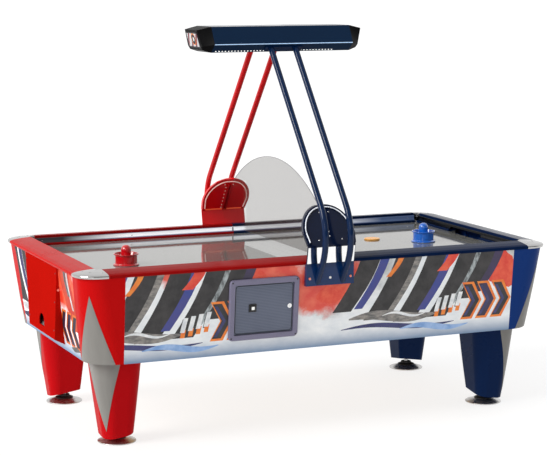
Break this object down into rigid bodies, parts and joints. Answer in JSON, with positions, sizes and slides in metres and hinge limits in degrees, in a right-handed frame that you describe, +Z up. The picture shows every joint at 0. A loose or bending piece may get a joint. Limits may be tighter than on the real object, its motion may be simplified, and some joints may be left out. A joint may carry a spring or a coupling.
{
  "type": "air hockey table",
  "caption": "Arcade air hockey table, red at one end and navy at the other, with tapered legs, end goal boxes, a coin door, a clear centre screen and an overhead lamp unit on leaning tube arms.",
  "frame": {"origin": "on the floor, under the middle of the table", "axes": "+X along the table from the red end to the blue end, -Y towards the coin door, +Z up"},
  "size_m": [2.4736, 1.5718, 1.932],
  "materials": {
    "side_panel": "board with a printed gloss sheet",
    "blue_paint": "board with gloss navy lacquer",
    "red_paint": "board with gloss red lacquer",
    "goal_red": "gloss red paint",
    "goal_blue": "gloss navy paint",
    "zinc_sheet": "galvanised sheet",
    "rail_red": "gloss red moulding",
    "rail_blue": "gloss navy moulding",
    "chrome_caps": "polished",
    "cushion_alu": "polished band",
    "cushion_dark": "black anodised band",
    "playfield": "polished grey laminate",
    "plywood": "raw birch plywood",
    "pine": "planed softwood",
    "black_sheet": "black powder coat",
    "impeller_alu": "cast",
    "motor_grey": "grey paint",
    "leg_red": "board with gloss red lacquer",
    "leg_blue": "board with gloss navy lacquer",
    "grey_inlay": "satin grey laminate",
    "foot_chrome": "polished",
    "door_frame": "satin grey powder coat",
    "door_slate": "fine ribbed slate paint",
    "steel": "bright",
    "lock_chrome": "polished",
    "black_plastic": "satin black",
    "button": "black with a bright insert",
    "bracket_blue": "gloss navy powder coat",
    "bracket_red": "gloss red powder coat",
    "polished_trim": "mirror polish",
    "screw_heads": "polished",
    "arm_blue": "gloss navy tube",
    "arm_red": "gloss red tube",
    "channel_alu": "satin",
    "clear_screen": "tinted light grey sheet",
    "lamp_navy": "gloss dark navy",
    "lamp_white": "gloss white",
    "diffuser": "opal",
    "lamp_tube": "white tubes",
    "cap_black": "gloss black moulding",
    "display": "printed display window",
    "mallet_red": "gloss red",
    "mallet_blue": "gloss blue",
    "puck_orange": "gloss orange"
  },
  "bodies": {
    "table": {"air_plenum": "plywood", "arms_front": "arm_blue", "arms_rear": "arm_red", "base_panel": "plywood", "blower_housing": "black_sheet", "blower_lid": "black_sheet", "blower_motor": "motor_grey", "bracket_front": "bracket_blue", "bracket_rear": "bracket_red", "bracket_screws": "screw_heads", "bracket_trims": "polished_trim", "cabinet_frame": "pine", "cash_box": "zinc_sheet", "centre_screen": "clear_screen", "coin_door_frame": "door_frame", "corner_caps": "chrome_caps", "corner_inlays": "grey_inlay", "corner_shells_blue": "blue_paint", "corner_shells_red": "red_paint", "door_hinge_pins": "steel", "end_cushions": "cushion_dark", "end_displays": "display", "end_rail_blue": "rail_blue", "end_rail_red": "rail_red", "front_panel": "side_panel", "goal_box_left": "goal_red", "goal_box_right": "goal_blue", "lamp_bottom_plate": "lamp_white", "lamp_cover_front": "lamp_navy", "lamp_cover_rear": "lamp_navy", "lamp_diffuser": "diffuser", "lamp_end_caps": "cap_black", "lamp_tubes": "lamp_tube", "left_end_panel": "red_paint", "leg_inlays": "grey_inlay", "legs_blue": "leg_blue", "legs_red": "leg_red", "playfield_board": "playfield", "power_inlet": "black_plastic", "puck_chutes": "zinc_sheet", "rear_panel": "side_panel", "right_end_panel": "blue_paint", "screen_channels": "channel_alu", "side_cushions": "cushion_alu", "side_rails_blue": "rail_blue", "side_rails_red": "rail_red"},
    "coin_door_body": {"coin_door": "door_slate", "coin_mechanism": "black_plastic"},
    "door_lock_body": {"door_lock": "lock_chrome"},
    "coin_button_body": {"coin_button": "button"},
    "impeller_body": {"impeller": "impeller_alu"},
    "goal_lock_left_body": {"goal_lock_left": "lock_chrome"},
    "goal_lock_right_body": {"goal_lock_right": "lock_chrome"},
    "mallet_red_body": {"mallet_red": "mallet_red"},
    "mallet_blue_body": {"mallet_blue": "mallet_blue"},
    "puck_body": {"puck": "puck_orange"},
    "foot_front_left_body": {"foot_front_left": "foot_chrome"},
    "foot_front_right_body": {"foot_front_right": "foot_chrome"},
    "foot_rear_left_body": {"foot_rear_left": "foot_chrome"},
    "foot_rear_right_body": {"foot_rear_right": "foot_chrome"}
  },
  "joints": [
    {"name": "coin_door_hinge", "type": "hinge", "parent": "table", "child": "coin_door_body", "pos_m": [-0.476, -0.629, 0.412], "axis": [0, 0.0966, -0.9953], "range_deg": [0, 90]},
    {"name": "door_lock_turn", "type": "hinge", "parent": "coin_door_body", "child": "door_lock_body", "pos_m": [-0.2, -0.65036, 0.63197], "axis": [0, 0.9953, 0.0966], "range_deg": [0, 90]},
    {"name": "coin_button_press", "type": "slide", "parent": "coin_door_body", "child": "coin_button_body", "axis": [0, 0.9953, 0.0966], "range_m": [0, 0.004], "stiffness_N_per_m": 400, "springref_m": -0.002},
    {"name": "impeller_spin", "type": "hinge", "parent": "table", "child": "impeller_body", "pos_m": [0.3, 0.1, 0.6], "axis": [0, 0, 1], "continuous": true},
    {"name": "goal_lock_left_turn", "type": "hinge", "parent": "table", "child": "goal_lock_left_body", "pos_m": [-1.218, -0.25, 0.712], "axis": [0, 1, 0], "range_deg": [0, 90]},
    {"name": "goal_lock_right_turn", "type": "hinge", "parent": "table", "child": "goal_lock_right_body", "pos_m": [1.218, -0.25, 0.712], "axis": [0, 1, 0], "range_deg": [0, 90]},
    {"name": "mallet_red_slide", "type": "slide", "parent": "table", "child": "mallet_red_body", "axis": [1, 0, 0], "range_m": [-0.183, 0.789]},
    {"name": "mallet_blue_slide", "type": "slide", "parent": "table", "child": "mallet_blue_body", "axis": [1, 0, 0], "range_m": [-0.737, 0.235]},
    {"name": "puck_slide", "type": "slide", "parent": "table", "child": "puck_body", "axis": [1, 0, 0], "range_m": [-1.656, 0.472]},
    {"name": "foot_front_left_level", "type": "slide", "parent": "table", "child": "foot_front_left_body", "axis": [0, 0, -1], "range_m": [0, 0.02]},
    {"name": "foot_front_right_level", "type": "slide", "parent": "table", "child": "foot_front_right_body", "axis": [0, 0, -1], "range_m": [0, 0.02]},
    {"name": "foot_rear_left_level", "type": "slide", "parent": "table", "child": "foot_rear_left_body", "axis": [0, 0, -1], "range_m": [0, 0.02]},
    {"name": "foot_rear_right_level", "type": "slide", "parent": "table", "child": "foot_rear_right_body", "axis": [0, 0, -1], "range_m": [0, 0.02]}
  ]
}
